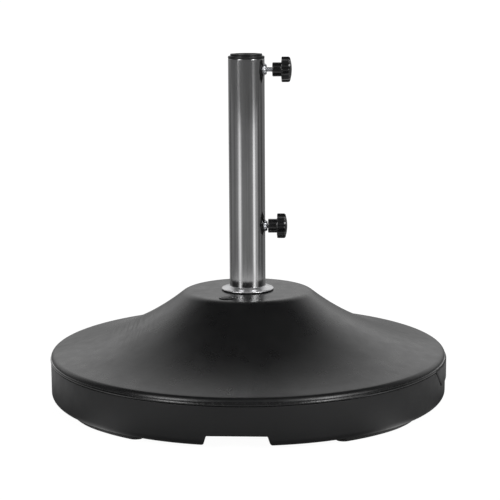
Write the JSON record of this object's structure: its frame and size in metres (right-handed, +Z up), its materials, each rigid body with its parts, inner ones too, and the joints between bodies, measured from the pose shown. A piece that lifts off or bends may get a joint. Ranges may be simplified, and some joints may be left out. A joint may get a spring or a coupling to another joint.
{
  "type": "parasol base",
  "caption": "Round weighted parasol base: a bell-shaped plastic shell over concrete, with an upright steel pole tube, reducer sleeves and two star-grip clamp screws.",
  "frame": {"origin": "on the ground under the pole tube's axis, at the centre of the feet", "axes": "+Z up along the pole tube, +X towards the clamp screws, -Y towards the hand notch"},
  "size_m": [0.6636, 0.6626, 0.5724],
  "materials": {
    "shell_plastic": "satin",
    "concrete": "matte",
    "rubber": "matte",
    "stainless": "satin",
    "polished_steel": "polished",
    "zinc_steel": "satin",
    "grip_plastic": "gloss",
    "sleeve_plastic": "satin",
    "nylon": "satin"
  },
  "bodies": {
    "base": {"top_cover": "shell_plastic", "bottom_pan": "shell_plastic", "anchor_cover": "shell_plastic", "filler_plug": "shell_plastic", "concrete_ballast": "concrete", "foot_pad_front_left": "rubber", "foot_pad_front_right": "rubber", "foot_pad_rear_left": "rubber", "foot_pad_rear_right": "rubber", "pole_rest": "rubber", "upright_tube": "stainless", "tube_socket": "zinc_steel", "tube_foot_plate": "zinc_steel", "anchor_nut": "zinc_steel", "anchor_bolt": "zinc_steel", "anchor_washer": "zinc_steel", "upper_thread_bush": "zinc_steel", "lower_thread_bush": "zinc_steel", "shell_screw_1": "zinc_steel", "shell_screw_2": "zinc_steel", "shell_screw_3": "zinc_steel", "shell_screw_4": "zinc_steel", "shell_screw_5": "zinc_steel", "shell_screw_6": "zinc_steel", "shell_screw_7": "zinc_steel", "shell_screw_8": "zinc_steel"},
    "rosette": {"rosette": "polished_steel", "rosette_seal": "rubber"},
    "outer_sleeve": {"outer_reducer": "sleeve_plastic"},
    "inner_sleeve": {"inner_reducer": "sleeve_plastic"},
    "upper_feed": {"upper_thrust_tip": "nylon"},
    "upper_grip": {"upper_clamp_screw": "zinc_steel", "upper_knob": "grip_plastic", "upper_knob_cap": "grip_plastic"},
    "lower_feed": {"lower_thrust_tip": "nylon"},
    "lower_grip": {"lower_clamp_screw": "zinc_steel", "lower_knob": "grip_plastic", "lower_knob_cap": "grip_plastic"}
  },
  "joints": [
    {"name": "rosette_lift", "type": "slide", "parent": "base", "child": "rosette", "axis": [0, 0, 1], "range_m": [0, 0.085]},
    {"name": "outer_reducer_lift", "type": "slide", "parent": "base", "child": "outer_sleeve", "axis": [0, 0, 1], "range_m": [0, 0.045]},
    {"name": "inner_reducer_lift", "type": "slide", "parent": "outer_sleeve", "child": "inner_sleeve", "axis": [0, 0, 1], "range_m": [0, 0.045]},
    {"name": "upper_screw_feed", "type": "slide", "parent": "base", "child": "upper_feed", "axis": [1, 0, 0], "range_m": [-0.0089, 0.0052]},
    {"name": "upper_knob_turn", "type": "hinge", "parent": "upper_feed", "child": "upper_grip", "pos_m": [0.06, 0, 0.5465], "axis": [1, 0, 0], "range_deg": [-2563, 1497]},
    {"name": "lower_screw_feed", "type": "slide", "parent": "base", "child": "lower_feed", "axis": [1, 0, 0], "range_m": [-0.001, 0.0131]},
    {"name": "lower_knob_turn", "type": "hinge", "parent": "lower_feed", "child": "lower_grip", "pos_m": [0.052, 0, 0.2878], "axis": [1, 0, 0], "range_deg": [-287, 3772]}
  ],
  "couplings": [
    {"joint": "upper_screw_feed", "follows": "upper_knob_turn", "m_per_rad": 0.00019894},
    {"joint": "lower_screw_feed", "follows": "lower_knob_turn", "m_per_rad": 0.00019894}
  ]
}
